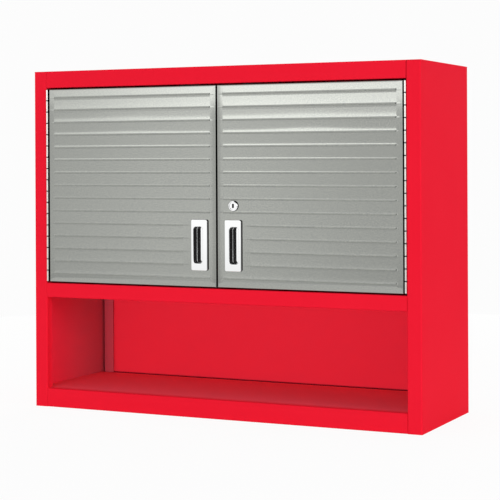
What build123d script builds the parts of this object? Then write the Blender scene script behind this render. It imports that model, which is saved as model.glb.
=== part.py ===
from build123d import *
import os

# Wall-hung steel storage cabinet: a folded sheet carcass with two ribbed doors over an open bay.
# Millimetres, +Z up, the doors face -Y. The origin is below the middle of the whole cabinet.

# Carcass
cabinet_width = 914.4
cabinet_height = 750.0
cabinet_depth = 305.0
sheet = 1.2
bend = 2.4
seam = 0.4
weld_seam = 0.1
fit = 0.3
overrun = 40.0

# Front frame
stile_width = 31.0
stile_return = 22.0
stile_lip = 9.0
top_rail_height = 37.0
divider_rail_height = 32.0
base_rail_height = 41.0
bay_height = 204.0
top_rail_return = 46.0
rail_return = 24.0
rail_lip = 9.0
end_fold = 18.0
weld_tab = 10.0
divider_rear_fold = 20.0
base_rear_gap = 4.0
cap_rear_fold = 12.0

# Rear of the carcass
back_recess = 15.0
hem_width = 6.0
rear_flange_width = 31.0
back_sheet = 0.9
back_set = 3.0
back_lap = 5.0
back_rivet_count = 4
back_rivet_margin = 50.0

# Hanging rails behind the back panel
rail_web = 44.0
rail_foot = 14.0
rail_sheet = 1.5
rail_end_gap = 6.2
upper_rail_drop = 60.0
lower_rail_rise = 33.0
stud_spacing = 406.4
wall_hole_radius = 4.0

# Shelf standards, clips and shelf
standard_width = 16.0
standard_depth = 5.0
standard_sheet = 1.0
standard_bend = 1.6
standard_inset = 14.0
front_standard_offset = 90.0
rear_standard_offset = 45.0
slot_pitch = 25.4
slot_width = 5.0
slot_height = 9.0
shelf_height_share = 0.45
clip_sheet = 1.2
clip_bend = 1.8
clip_drop = 16.0
clip_ledge = 14.0
clip_width = 12.0
tongue_reach = 3.0
shelf_setback = 58.0
shelf_fold = 20.0
shelf_hem = 10.0

# Doors
door_gap = 3.3
middle_gap = 3.4
door_thickness = 20.0
door_sheet = 1.0
door_bend = 2.0
liner_sheet = 0.8
liner_depth = 10.0
liner_bend = 1.5

# Pressed ribs of the door skins
rib_count = 15
rib_low_margin = 18.0
rib_top_margin = 20.5
rib_end_margin = 12.0
rib_proud = 1.3
rib_flare = 4.0
rib_step = 0.8
rib_end_run = 2.5
rib_root = 0.5
handle_pad = 19.0

# Continuous hinges
knuckle_count = 17
knuckle_radius = 2.2
pin_radius = 1.2
pin_clearance = 0.05
knuckle_gap = 0.8
leaf = 0.9
leaf_bend = 1.2
leaf_depth = 19.0
leaf_step = 10.0
hinge_offset = 3.0
hinge_rivet_depth = 14.6
hinge_rivet_count = 5
hinge_rivet_margin = 30.0

# Rivets
rivet_radius = 1.6
rivet_head_radius = 2.8
rivet_crown = 0.9
rivet_tail_radius = 2.4
rivet_tail = 1.2

# Pull handles
handle_centre = 40.0
handle_height_above_sill = 92.5
handle_width = 38.5
handle_length = 108.5
handle_proud = 4.5
handle_corner = 4.0
handle_edge = 1.2
handle_wall = 1.6
pocket_width = 22.4
pocket_length = 78.6
pocket_corner = 7.0
pocket_depth = 13.5
pocket_round = 1.5
pocket_offset = 2.7
handle_screw_spread = 47.5
handle_screw_radius = 2.0
handle_screw_head_radius = 3.8
handle_screw_head = 2.4
handle_screw_bite = 3.0

# Lock in the right door
lock_above_handle = 84.0
bezel_radius = 11.3
bezel_proud = 3.5
bezel_edge = 1.2
barrel_radius = 9.0
barrel_tail = 1.5
plug_radius = 6.0
plug_head_radius = 8.0
plug_head = 3.0
plug_sink = 1.0
plug_clearance = 0.05
keyway_width = 3.0
keyway_height = 8.0
keyway_depth = 9.0
nut_radius = 14.0
nut_height = 4.0
nut_clearance = 0.1
drive_square = 7.0
drive_clearance = 0.1
cam_gap = 0.5
cam_sheet = 2.0
cam_width = 16.0
cam_reach = 60.0
cam_screw_radius = 2.2
cam_screw_head_radius = 5.5
cam_screw_head = 2.5
cam_screw_bite = 8.0
keeper_width = 26.0
keeper_length = 40.0
keeper_sheet = 1.5
keeper_bend = 2.0
keeper_margin = 4.0
keeper_clearance = 1.0

# Magnetic catches
catch_centre = 75.0
catch_width = 46.0
catch_height = 20.0
catch_depth = 16.0
catch_edge = 1.5
catch_gap = 0.5
magnet_width = 30.0
magnet_height = 8.0
magnet_depth = 9.0
magnet_proud = 0.8
strike_width = 36.0
strike_height = 10.0
strike_sheet = 1.0
strike_corner = 2.0

# Places worked out from the sizes
half_width = cabinet_width / 2
front = (handle_proud - cabinet_depth) / 2
back = front + cabinet_depth
opening_half = half_width - stile_width
wall_face = half_width - sheet
back_face = back - back_recess
flange_face = back_face - sheet
bay_floor = base_rail_height
door_sill = base_rail_height + bay_height + divider_rail_height
door_head = cabinet_height - top_rail_height
hinge_x = opening_half - knuckle_radius
door_outer = hinge_x - knuckle_radius - hinge_offset
door_inner = middle_gap / 2
door_low = door_sill + door_gap
door_high = door_head - door_gap
door_rear = front + door_thickness
rail_length = 2 * (half_width - rear_flange_width - rail_end_gap)
upper_rail_height = cabinet_height - upper_rail_drop
lower_rail_height = door_sill + lower_rail_rise
handle_z = door_sill + handle_height_above_sill
pocket_x = handle_centre + pocket_offset
lock_x = handle_centre
lock_z = handle_z + lock_above_handle
barrel_end = door_rear + nut_height + barrel_tail
cam_face = barrel_end + cam_gap
catch_face = door_rear + strike_sheet + catch_gap


def block(x, y, z):
    """A box from its (low, high) pair on each axis."""
    sizes = [high - low for low, high in (x, y, z)]
    corner = Pos(x[0], y[0], z[0])
    return corner * Box(*sizes, align=(Align.MIN, Align.MIN, Align.MIN))


def rod(plane, centre, radius, low, high):
    """A round bar square to a plane, from one height above it to another."""
    disc = plane.offset(low) * Pos(*centre) * Circle(radius)
    return extrude(disc, amount=high - low, dir=plane.z_dir)


def folded_sheet(path, thickness, radius, plane, low, high):
    """Sheet laid on the left of a path of outer corners, rounded at its folds and drawn out."""
    outer = FilletPolyline(*path, radius=radius).wire()
    section = Face(outer.offset_2d(thickness, side=Side.LEFT, closed=True))
    return extrude(plane.offset(low) * section, amount=high - low, dir=plane.z_dir)


def upright_slab(centre, size, radius, low, high):
    """A plate with rounded corners that stands in X and Z, from one depth in Y to another."""
    outline = Pos(centre[1], centre[0]) * RectangleRounded(size[1], size[0], radius)
    return extrude(Plane.ZX.offset(low) * outline, amount=high - low, dir=Plane.ZX.z_dir)


def spread(count, low, high):
    """Evenly spaced places from low to high."""
    return [low + (high - low) * i / (count - 1) for i in range(count)]


def on_both_sides(solid):
    """A piece and its mirror image on the other side of the cabinet."""
    return [solid, mirror(solid, about=Plane.YZ)]


def rivet(place, facing, grip):
    """A set rivet: crowned head on the face, shank through the grip and a tail behind it."""
    head = Cone(rivet_head_radius, rivet_radius, rivet_crown, align=(Align.CENTER, Align.CENTER, Align.MIN))
    shank = Cylinder(rivet_radius, grip, align=(Align.CENTER, Align.CENTER, Align.MAX))
    tail = Cylinder(rivet_tail_radius, rivet_tail, align=(Align.CENTER, Align.CENTER, Align.MAX))
    return Plane(origin=place, z_dir=facing) * (head + shank + Pos(0, 0, -grip) * tail)


# Places of the rivets that pieces share
hinge_rivet_heights = spread(hinge_rivet_count, door_low + hinge_rivet_margin, door_high - hinge_rivet_margin)
hinge_rivet_y = front + hinge_rivet_depth
back_rivet_x = half_width - rear_flange_width / 2
back_rivet_heights = spread(back_rivet_count, door_sill + back_rivet_margin, door_head - back_rivet_margin)


def right_side_panel():
    """Wall folded into the front stile with its return and lip, and into the recessed rear flange."""
    path = [
        (opening_half + stile_lip, front + stile_return),
        (opening_half, front + stile_return),
        (opening_half, front),
        (half_width, front),
        (half_width, back),
        (half_width - hem_width, back),
        (half_width - hem_width, back_face),
        (half_width - rear_flange_width, back_face),
    ]
    panel = folded_sheet(path, sheet, bend, Plane.XY, 0, cabinet_height - sheet)
    for z in hinge_rivet_heights:
        panel -= rod(Plane.YZ, (hinge_rivet_y, z), rivet_radius, opening_half - overrun, opening_half + stile_lip)
    for z in back_rivet_heights:
        panel -= rod(Plane.ZX, (z, back_rivet_x), rivet_radius, flange_face - sheet, back)
    return panel


def tray(top, rail, rail_depth, half, rear, rear_fold):
    """Floor sheet folded down at the front into a rail with a hemmed return, and down at the rear."""
    path = [
        (rear, top - rear_fold),
        (rear, top),
        (front, top),
        (front, top - rail),
        (front + rail_depth, top - rail),
        (front + rail_depth, top - rail + rail_lip),
    ]
    return folded_sheet(path, sheet, bend, Plane.YZ, -half, half)


def end_flange(top, rear_gap, fold):
    """Strip folded down at the end of a tray, flat against the side wall."""
    outer = wall_face - fit
    depth = (front + stile_return + fit, flange_face - rear_gap - bend)
    return block((outer - sheet, outer), depth, (top - fold, top - sheet))


def floor_panel(top, rail, rear_gap, rear_fold, fold):
    """Tray between the side walls, notched and tabbed at the stiles and clear of the rear flanges."""
    half = wall_face - fit
    panel = tray(top, rail, rail_return, half, flange_face - rear_gap, rear_fold)
    notch_depth = (front - overrun, front + stile_return + fit)
    notch = block((opening_half - weld_seam, half + overrun), notch_depth, (top - rail - overrun, top + overrun))
    panel -= on_both_sides(notch)
    tab_edge = opening_half - weld_seam
    tab_depth = (front + sheet / 2, front + weld_tab)
    tab = block((tab_edge - sheet, tab_edge), tab_depth, (top - rail + sheet, top - sheet))
    panel += on_both_sides(tab)
    panel += on_both_sides(end_flange(top, rear_gap, fold))
    return panel


def top_panel():
    """Cap sheet over the walls, with the top rail between the stiles and a rear fold between the hems."""
    top = cabinet_height
    panel = tray(top, top_rail_height, top_rail_return, half_width, back, cap_rear_fold)
    under = (top - top_rail_height - overrun, top - sheet)
    stile_notch = block((opening_half - seam, half_width + overrun), (front - overrun, flange_face), under)
    hem_notch = block((half_width - hem_width - seam, half_width + overrun), (flange_face, back + overrun), under)
    panel -= on_both_sides(stile_notch)
    panel -= on_both_sides(hem_notch)
    panel += on_both_sides(end_flange(top, fit, end_fold))
    return panel


def wall_holes(height, low, high):
    """Round holes for the wall bolts of one hanging rail."""
    return [rod(Plane.ZX, (height, x), wall_hole_radius, low, high) for x in (-stud_spacing / 2, stud_spacing / 2)]


def back_panel():
    """Sheet riveted to the rear flanges, set back between them and pierced for the wall bolts."""
    half = half_width - hem_width - bend - fit
    field_half = half_width - rear_flange_width + back_lap
    slope_half = field_half + back_set
    path = [
        (-half, back_face),
        (-slope_half, back_face),
        (-field_half, back_face + back_set),
        (field_half, back_face + back_set),
        (slope_half, back_face),
        (half, back_face),
    ]
    panel = folded_sheet(path, back_sheet, bend, Plane.XY, fit, cabinet_height - sheet - fit)
    for height in (upper_rail_height, lower_rail_height):
        panel -= wall_holes(height, back_face - overrun, back)
    for z in back_rivet_heights:
        panel -= on_both_sides(rod(Plane.ZX, (z, back_rivet_x), rivet_radius, back_face - overrun, back))
    return panel


def hanging_rail(height):
    """Hat channel whose feet lie on the back panel and whose web lies on the wall."""
    foot_face = back_face + back_set + back_sheet + rail_sheet
    web_edge = rail_web / 2
    foot_edge = web_edge + rail_foot
    path = [
        (foot_face, height - foot_edge),
        (foot_face, height - web_edge),
        (back, height - web_edge),
        (back, height + web_edge),
        (foot_face, height + web_edge),
        (foot_face, height + foot_edge),
    ]
    channel = folded_sheet(path, rail_sheet, bend, Plane.YZ, -rail_length / 2, rail_length / 2)
    return channel - wall_holes(height, back - overrun, back + overrun)


# Shelf standards: slot heights, and the two places along each wall
standard_low = door_sill + standard_inset
standard_high = door_head - standard_inset
slot_count = int((standard_high - standard_low) / slot_pitch)
slot_heights = [standard_low + slot_pitch * (i + 0.5) for i in range(slot_count)]
shelf_slot = int(slot_count * shelf_height_share)
standard_places = [front + front_standard_offset, flange_face - rear_standard_offset]
web_face = wall_face - standard_depth
shelf_top = slot_heights[shelf_slot] + clip_drop / 2 + sheet


def shelf_standard(y):
    """Shallow channel on the right wall with a row of slots in its web."""
    path = [
        (wall_face, y + standard_width / 2),
        (web_face, y + standard_width / 2),
        (web_face, y - standard_width / 2),
        (wall_face, y - standard_width / 2),
    ]
    channel = folded_sheet(path, standard_sheet, standard_bend, Plane.XY, standard_low, standard_high)
    slot = Pos(0, y, 0) * Box(2 * standard_sheet, slot_width, slot_height)
    return channel - [Pos(web_face, 0, z) * slot for z in slot_heights]


def shelf_clip(y):
    """Bent clip with a tongue in a slot of the standard and a ledge below the shelf."""
    ledge = shelf_top - sheet
    path = [(ledge, web_face - clip_ledge), (ledge, web_face), (ledge - clip_drop, web_face)]
    clip = folded_sheet(path, clip_sheet, clip_bend, Plane.ZX, y - clip_width / 2, y + clip_width / 2)
    tongue_half = slot_width / 2 - fit
    rise = slot_height / 2 - fit
    z = slot_heights[shelf_slot]
    tongue_run = (web_face - clip_sheet, web_face + tongue_reach)
    return clip + block(tongue_run, (y - tongue_half, y + tongue_half), (z - rise, z + rise))


def adjustable_shelf():
    """Loose shelf folded down at the front, with a hem, and at the rear."""
    half = web_face - clip_sheet - fit
    shelf_front = front + shelf_setback
    rear = flange_face - rivet_tail - fit
    path = [
        (rear, shelf_top - shelf_fold),
        (rear, shelf_top),
        (shelf_front, shelf_top),
        (shelf_front, shelf_top - shelf_fold),
        (shelf_front + shelf_hem, shelf_top - shelf_fold),
    ]
    return folded_sheet(path, sheet, bend, Plane.YZ, -half, half)


# Magnetic catches: one above and one below each door
catch_heights = [door_head - catch_height / 2, door_sill + catch_height / 2]
catch_places = [(x, z) for x in (-catch_centre, catch_centre) for z in catch_heights]


def magnet(x, z, room):
    """Magnet block in the mouth of a catch, grown by the given room on all sides but the front."""
    wide = magnet_width / 2 + room
    tall = magnet_height / 2 + room
    depth = (catch_face, catch_face + magnet_depth + room)
    return block((x - wide, x + wide), depth, (z - tall, z + tall))


def catch_housing(x, z):
    """Moulded catch body with a pocket for its magnet."""
    size = (catch_width, catch_height)
    body_front = catch_face + magnet_proud
    body = upright_slab((x, z), size, catch_edge, body_front, body_front + catch_depth)
    return body - magnet(x, z, fit)


def catch_strike(x, z):
    """Steel plate on the rear of a door that meets the magnet."""
    size = (strike_width, strike_height)
    return upright_slab((x, z), size, strike_corner, door_rear, door_rear + strike_sheet)


def nested_pan(inset, low, high, thickness, radius, face_first):
    """Folded pan within the door's outline, open at the rear, or at the front where its face is last."""
    x = (door_inner + inset, door_outer - inset)
    z = (door_low + inset, door_high - inset)
    shell = block(x, (low, high), z)
    inner_x = (x[0] + thickness, x[1] - thickness)
    inner_z = (z[0] + thickness, z[1] - thickness)
    inner_y = (low + thickness, high + overrun) if face_first else (low - overrun, high - thickness)
    hollow = block(inner_x, inner_y, inner_z)
    end = 0 if face_first else -1
    shell = fillet(shell.faces().sort_by(Axis.Y)[end].edges(), radius)
    hollow = fillet(hollow.faces().sort_by(Axis.Y)[end].edges(), radius - thickness)
    return shell - hollow


def rib(line, inner, outer):
    """One pressed rib: the sheet flares out to a lip, then steps back to the face, with sloped ends."""
    fade = (front, line + rib_flare)
    lip = (front - rib_proud, line + rib_step)
    root = front + rib_root
    lip_section = Polyline(fade, lip, (front, line), (root, line), (root, line + rib_flare), close=True)
    section = make_face(Plane.YZ.offset(inner) * lip_section)
    bar = extrude(section, amount=outer - inner, dir=Plane.YZ.z_dir)
    tip = front - rib_proud
    outline = Polyline(
        (inner, root),
        (inner, front),
        (inner + rib_end_run, tip),
        (outer - rib_end_run, tip),
        (outer, front),
        (outer, root),
        close=True,
    )
    room = extrude(make_face(Pos(0, 0, line) * outline), amount=rib_flare)
    return bar & room


def door_ribs():
    """Ribs across the right door, cut short where the handle's flat pad is."""
    outer = door_outer - rib_end_margin
    low_edge = handle_z - handle_length / 2
    high_edge = handle_z + handle_length / 2
    ribs = []
    for line in spread(rib_count, door_low + rib_low_margin, door_high - rib_top_margin):
        beside_handle = low_edge < line < high_edge
        inner = handle_centre + handle_width / 2 + handle_pad if beside_handle else door_inner + rib_end_margin
        ribs.append(rib(line, inner, outer))
    return ribs


def door_skin():
    """Right door's outer pan with its ribs and the cut-out behind the handle."""
    skin = nested_pan(0, front, door_rear, door_sheet, door_bend, True)
    skin += door_ribs()
    size = (pocket_width + 2 * handle_wall + 2 * fit, pocket_length + 2 * handle_wall + 2 * fit)
    hole_corner = pocket_corner + handle_wall + fit
    skin -= upright_slab((pocket_x, handle_z), size, hole_corner, front - overrun, front + door_sheet + rib_root)
    for z in handle_screw_heights:
        skin -= rod(Plane.ZX, (z, handle_centre), handle_screw_radius, front - overrun, front + door_sheet + rib_root)
    return skin - hinge_edge_holes()


def hinge_edge_holes():
    """Rivet holes through the right door's hinge edge."""
    low = door_outer - leaf_depth
    return [rod(Plane.YZ, (hinge_rivet_y, z), rivet_radius, low, hinge_x) for z in hinge_rivet_heights]


def door_liner():
    """Right door's inner pan, which closes the skin from behind."""
    rear_pan = nested_pan(door_sheet, door_rear - liner_depth, door_rear, liner_sheet, liner_bend, False)
    return rear_pan - hinge_edge_holes()


def lock_hole():
    """Round hole through a door for the lock's barrel."""
    return rod(Plane.ZX, (lock_z, lock_x), barrel_radius + fit, front - overrun, door_rear + overrun)


def lock_seat():
    """Round flat that the lock's bezel stands on, cleared of ribs."""
    return rod(Plane.ZX, (lock_z, lock_x), bezel_radius + fit, front - overrun, front)


# Handle screws stand above and below the finger pocket
handle_screw_heights = [handle_z - handle_screw_spread, handle_z + handle_screw_spread]


def handle():
    """Right pull: rounded plate on the door's face with a finger pocket sunk through the skin."""
    face = front - handle_proud
    plate = upright_slab((handle_centre, handle_z), (handle_width, handle_length), handle_corner, face, front)
    plate = fillet(plate.faces().sort_by(Axis.Y)[0].edges(), handle_edge)
    trough_size = (pocket_width + 2 * handle_wall, pocket_length + 2 * handle_wall)
    place = (pocket_x, handle_z)
    bottom = front + pocket_depth
    trough = upright_slab(place, trough_size, pocket_corner + handle_wall, front, bottom + handle_wall)
    trough = fillet(trough.faces().sort_by(Axis.Y)[-1].edges(), pocket_round + handle_wall)
    pocket = upright_slab(place, (pocket_width, pocket_length), pocket_corner, face - overrun, bottom)
    pocket = fillet(pocket.faces().sort_by(Axis.Y)[-1].edges(), pocket_round)
    pull = plate + trough - pocket
    for z in handle_screw_heights:
        pull -= rod(Plane.ZX, (z, handle_centre), handle_screw_radius, front - handle_screw_bite, front + overrun)
    return pull


def handle_screw(z):
    """Screw from inside the door that draws the handle onto the skin."""
    seat = front + door_sheet
    place = (z, handle_centre)
    shank = rod(Plane.ZX, place, handle_screw_radius, front - handle_screw_bite, seat)
    return shank + rod(Plane.ZX, place, handle_screw_head_radius, seat, seat + handle_screw_head)


# Knuckles of the continuous hinges, from the bottom up: even ones are the frame's, odd ones the door's
knuckle_pitch = (door_high - door_low) / knuckle_count


def hinge_leaf(plate, first, strip_x):
    """A leaf with every second knuckle rolled from its front edge, bored for the pin."""
    for i in range(first, knuckle_count, 2):
        low = door_low + knuckle_pitch * i + knuckle_gap / 2
        high = low + knuckle_pitch - knuckle_gap
        plate += rod(Plane.XY, (hinge_x, front), knuckle_radius, low, high)
        plate += block(strip_x, (front, front + 2 * knuckle_radius), (low, high))
    return plate - rod(Plane.XY, (hinge_x, front), pin_radius + pin_clearance, door_low, door_high)


def hinge_frame_leaf():
    """Right leaf on the stile's return, with the frame's knuckles."""
    strip_x = (opening_half - leaf, opening_half)
    plate_y = (front + knuckle_radius + knuckle_gap, front + leaf_depth)
    leaf_plate = hinge_leaf(block(strip_x, plate_y, (door_low, door_high)), 0, strip_x)
    for z in hinge_rivet_heights:
        leaf_plate -= rod(Plane.YZ, (hinge_rivet_y, z), rivet_radius, hinge_x, opening_half + overrun)
    return leaf_plate


def hinge_door_leaf():
    """Right leaf stepped back onto the door's edge, with the door's knuckles."""
    knuckle_side = hinge_x - knuckle_radius
    path = [
        (door_outer, front + leaf_depth),
        (door_outer, front + leaf_step),
        (knuckle_side, front + leaf_step),
        (knuckle_side, front + knuckle_radius + knuckle_gap),
    ]
    plate = folded_sheet(path, leaf, leaf_bend, Plane.XY, door_low, door_high)
    return hinge_leaf(plate, 1, (knuckle_side, knuckle_side + leaf)) - hinge_edge_holes()


def hinge_pin():
    """Right hinge's pin, the full height of the door."""
    return rod(Plane.XY, (hinge_x, front), pin_radius, door_low, door_high)


def lock_housing():
    """Lock body: round bezel on the door's face and a barrel through both sheets."""
    centre = (lock_z, lock_x)
    bezel_face = front - bezel_proud
    bezel = rod(Plane.ZX, centre, bezel_radius, bezel_face, front)
    bezel = fillet(bezel.faces().sort_by(Axis.Y)[0].edges(), bezel_edge)
    body = bezel + rod(Plane.ZX, centre, barrel_radius, front, barrel_end)
    body -= rod(Plane.ZX, centre, plug_radius + plug_clearance, bezel_face, barrel_end)
    seat = bezel_face + plug_sink + plug_head + plug_clearance
    return body - rod(Plane.ZX, centre, plug_head_radius + plug_clearance, bezel_face, seat)


def lock_nut():
    """Hexagon nut that clamps the barrel from behind the door."""
    hexagon = Plane.ZX.offset(door_rear) * Pos(lock_z, lock_x) * RegularPolygon(nut_radius, 6)
    nut = extrude(hexagon, amount=nut_height, dir=Plane.ZX.z_dir)
    bore = barrel_radius + nut_clearance
    return nut - rod(Plane.ZX, (lock_z, lock_x), bore, door_rear - overrun, door_rear + overrun)


def drive(room, low, high):
    """Square that turns the cam, grown by the given room."""
    half = drive_square / 2 + room
    return block((lock_x - half, lock_x + half), (low, high), (lock_z - half, lock_z + half))


def lock_plug():
    """Turning plug with its keyway in front and its square behind."""
    centre = (lock_z, lock_x)
    face = front - bezel_proud + plug_sink
    plug = rod(Plane.ZX, centre, plug_head_radius, face, face + plug_head)
    plug += rod(Plane.ZX, centre, plug_radius, face, barrel_end)
    plug += drive(0, barrel_end, cam_face + cam_sheet)
    half_slot = keyway_width / 2
    half_tall = keyway_height / 2
    slot_x = (lock_x - half_slot, lock_x + half_slot)
    plug -= block(slot_x, (face - overrun, face + keyway_depth), (lock_z - half_tall, lock_z + half_tall))
    tap_end = cam_face + cam_sheet - cam_screw_bite
    return plug - rod(Plane.ZX, centre, cam_screw_radius, tap_end, cam_face + overrun)


def lock_cam():
    """Flat cam that hangs from the plug when the lock is open."""
    length = cam_reach + cam_width / 2
    middle = lock_z + cam_width / 2 - length / 2
    outline = Plane.ZX.offset(cam_face) * Pos(middle, lock_x) * SlotOverall(length, cam_width)
    cam = extrude(outline, amount=cam_sheet, dir=Plane.ZX.z_dir)
    return cam - drive(drive_clearance, cam_face - overrun, cam_face + overrun)


def cam_screw():
    """Screw that holds the cam on the plug."""
    centre = (lock_z, lock_x)
    seat = cam_face + cam_sheet
    shank = rod(Plane.ZX, centre, cam_screw_radius, seat - cam_screw_bite, seat)
    return shank + rod(Plane.ZX, centre, cam_screw_head_radius, seat, seat + cam_screw_head)


def lock_keeper():
    """Bent bridge on the left door's rear that the turned cam passes behind."""
    near = -door_inner - keeper_margin
    far = near - keeper_width
    rise = cam_face - keeper_clearance
    path = [(near, door_rear), (near, rise), (far, rise), (far, door_rear)]
    low = lock_z - keeper_length / 2
    return folded_sheet(path, keeper_sheet, keeper_bend, Plane.XY, low, low + keeper_length)


def hinge_frame_rivets():
    """Rivets through the frame leaves and the stiles' returns, heads towards the doors."""
    face = opening_half - leaf
    row = [rivet((face, hinge_rivet_y, z), (-1, 0, 0), leaf + sheet) for z in hinge_rivet_heights]
    return [piece for solid in row for piece in on_both_sides(solid)]


def hinge_door_rivets():
    """Rivets through the right door's leaf, skin and liner edges, heads towards the stile."""
    face = door_outer + leaf
    grip = leaf + door_sheet + liner_sheet
    return [rivet((face, hinge_rivet_y, z), (1, 0, 0), grip) for z in hinge_rivet_heights]


def back_panel_rivets():
    """Rivets through the back panel and the rear flanges, heads to the rear."""
    face = back_face + back_sheet
    row = [rivet((back_rivet_x, face, z), (0, 1, 0), back_sheet + sheet) for z in back_rivet_heights]
    return [piece for solid in row for piece in on_both_sides(solid)]


def both_doors(name, solids):
    """The same pieces for the right door and, mirrored, for the left."""
    nodes["right_" + name] = solids
    nodes["left_" + name] = [mirror(solid, about=Plane.YZ) for solid in solids]


# Every node and the solids in it
nodes = {
    "top_panel": [top_panel()],
    "divider_panel": [floor_panel(door_sill, divider_rail_height, fit, divider_rear_fold, end_fold)],
    "base_panel": [floor_panel(bay_floor, base_rail_height, base_rear_gap, base_rail_height, base_rail_height)],
    "back_panel": [back_panel()],
    "upper_hanging_rail": [hanging_rail(upper_rail_height)],
    "lower_hanging_rail": [hanging_rail(lower_rail_height)],
    "shelf_standards": [piece for y in standard_places for piece in on_both_sides(shelf_standard(y))],
    "shelf_clips": [piece for y in standard_places for piece in on_both_sides(shelf_clip(y))],
    "adjustable_shelf": [adjustable_shelf()],
    "catch_housings": [catch_housing(x, z) for x, z in catch_places],
    "catch_magnets": [magnet(x, z, 0) for x, z in catch_places],
    "hinge_frame_rivets": hinge_frame_rivets(),
    "back_panel_rivets": back_panel_rivets(),
    "lock_housing": [lock_housing()],
    "lock_nut": [lock_nut()],
    "lock_plug": [lock_plug()],
    "lock_cam": [lock_cam()],
    "cam_screw": [cam_screw()],
    "lock_keeper": [lock_keeper()],
}
both_doors("side_panel", [right_side_panel()])
both_doors("door_skin", [door_skin()])
both_doors("door_liner", [door_liner()])
both_doors("handle", [handle()])
both_doors("handle_screws", [handle_screw(z) for z in handle_screw_heights])
both_doors("hinge_frame_leaf", [hinge_frame_leaf()])
both_doors("hinge_door_leaf", [hinge_door_leaf()])
both_doors("hinge_pin", [hinge_pin()])
both_doors("hinge_door_rivets", hinge_door_rivets())
both_doors("catch_strikes", [catch_strike(catch_centre, z) for z in catch_heights])
for name in ("right_door_skin", "right_door_liner"):
    nodes[name] = [nodes[name][0] - lock_hole() - lock_seat()]

os.makedirs("parts", exist_ok=True)
for name, solids in nodes.items():
    export_step(Compound(solids), f"parts/{name}.step")
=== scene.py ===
import math

import bmesh
import bpy
import numpy as np
from mathutils import Matrix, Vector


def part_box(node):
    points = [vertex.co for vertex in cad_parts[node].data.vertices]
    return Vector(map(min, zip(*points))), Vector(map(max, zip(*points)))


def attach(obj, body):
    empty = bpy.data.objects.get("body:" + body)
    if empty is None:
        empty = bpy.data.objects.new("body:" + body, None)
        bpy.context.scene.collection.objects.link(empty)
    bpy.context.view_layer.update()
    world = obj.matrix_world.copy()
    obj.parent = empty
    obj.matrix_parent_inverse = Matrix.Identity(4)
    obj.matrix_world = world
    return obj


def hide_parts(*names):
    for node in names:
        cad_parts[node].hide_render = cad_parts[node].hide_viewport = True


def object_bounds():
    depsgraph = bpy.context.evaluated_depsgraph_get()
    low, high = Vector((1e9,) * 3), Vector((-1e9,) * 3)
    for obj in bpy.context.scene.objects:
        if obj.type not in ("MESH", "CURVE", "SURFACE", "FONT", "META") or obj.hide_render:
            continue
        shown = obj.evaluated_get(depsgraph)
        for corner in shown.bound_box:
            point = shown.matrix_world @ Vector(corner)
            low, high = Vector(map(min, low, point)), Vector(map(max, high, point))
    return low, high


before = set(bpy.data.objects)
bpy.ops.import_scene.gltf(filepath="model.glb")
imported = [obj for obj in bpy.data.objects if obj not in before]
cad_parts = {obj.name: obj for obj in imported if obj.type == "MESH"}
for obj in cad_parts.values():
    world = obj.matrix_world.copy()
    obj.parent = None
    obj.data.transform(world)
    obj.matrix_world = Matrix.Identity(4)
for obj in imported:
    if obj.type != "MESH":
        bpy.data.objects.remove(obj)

cad_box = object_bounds()


# Carcass: side walls, cap, divider and base, each folded from cold-rolled sheet with its front
# stile or rail in one piece, welded into a box, sprayed with red powder and baked. Inside, the red
# is painted paler as painted light, and on the walls darker towards the rear as painted shade.

MM = 0.001
side_sheet = 1.2 * MM
foremost = cad_box[0][1]
half_width = cad_box[1][0]
wall_outside = half_width - 0.7 * side_sheet, half_width - 0.3 * side_sheet
# Inside the carcass, over these depths behind the front, painted light turns the red paler and painted
# shade darkens the walls towards the rear.
painted_light_wall_reach = foremost + 10 * MM, foremost + 40 * MM
painted_shade_wall_reach = foremost + 40 * MM, foremost + 280 * MM
painted_light_floor_reach = foremost + 6 * MM, foremost + 40 * MM
bright_reds = "#e81b30", "#ec1e33"
painted_light_wall_red = "#f73049"
painted_shade_wall_red = "#ce4f5f"
painted_light_floor_red = "#fb5b6d"
smooth = {"interpolation_type": "SMOOTHSTEP"}


def linear(hex_colour):
    """Linear RGBA of an sRGB hex colour: each channel goes through the sRGB curve."""
    shares = [int(hex_colour[i:i + 2], 16) / 255 for i in (1, 3, 5)]
    return [s / 12.92 if s <= 0.04045 else ((s + 0.055) / 1.055) ** 2.4 for s in shares] + [1.0]


def add(tree, kind, settings, *links):
    """A new node. Settings are keyed by attribute, or by an input's name or number: a Map Range goes from
    1 and 2 to 3 and 4, and a Mix has its colours at 6 and 7 and gives them at output 2. A link pairs an
    output, or a node for its first output, with an input."""
    made = tree.nodes.new(kind)
    for key, value in settings.items():
        if isinstance(key, int) or key in made.inputs:
            made.inputs[key].default_value = value
        else:
            setattr(made, key, value)
    for source, target in links:
        output = source.outputs[0] if isinstance(source, bpy.types.Node) else source
        tree.links.new(output, made.inputs[target])
    return made


def new_material(name):
    """An empty node material, its tree, and the place on the piece in metres."""
    made = bpy.data.materials.new(name)
    made.use_nodes = True
    made.node_tree.nodes.clear()
    place = add(made.node_tree, "ShaderNodeTexCoord", {}).outputs["Object"]
    return made, made.node_tree, place


def coat_nodes(material, *names):
    """Gives CAD nodes one material in place of their plain ones."""
    for name in names:
        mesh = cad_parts[name].data
        mesh.materials.clear()
        mesh.materials.append(material)


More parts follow.
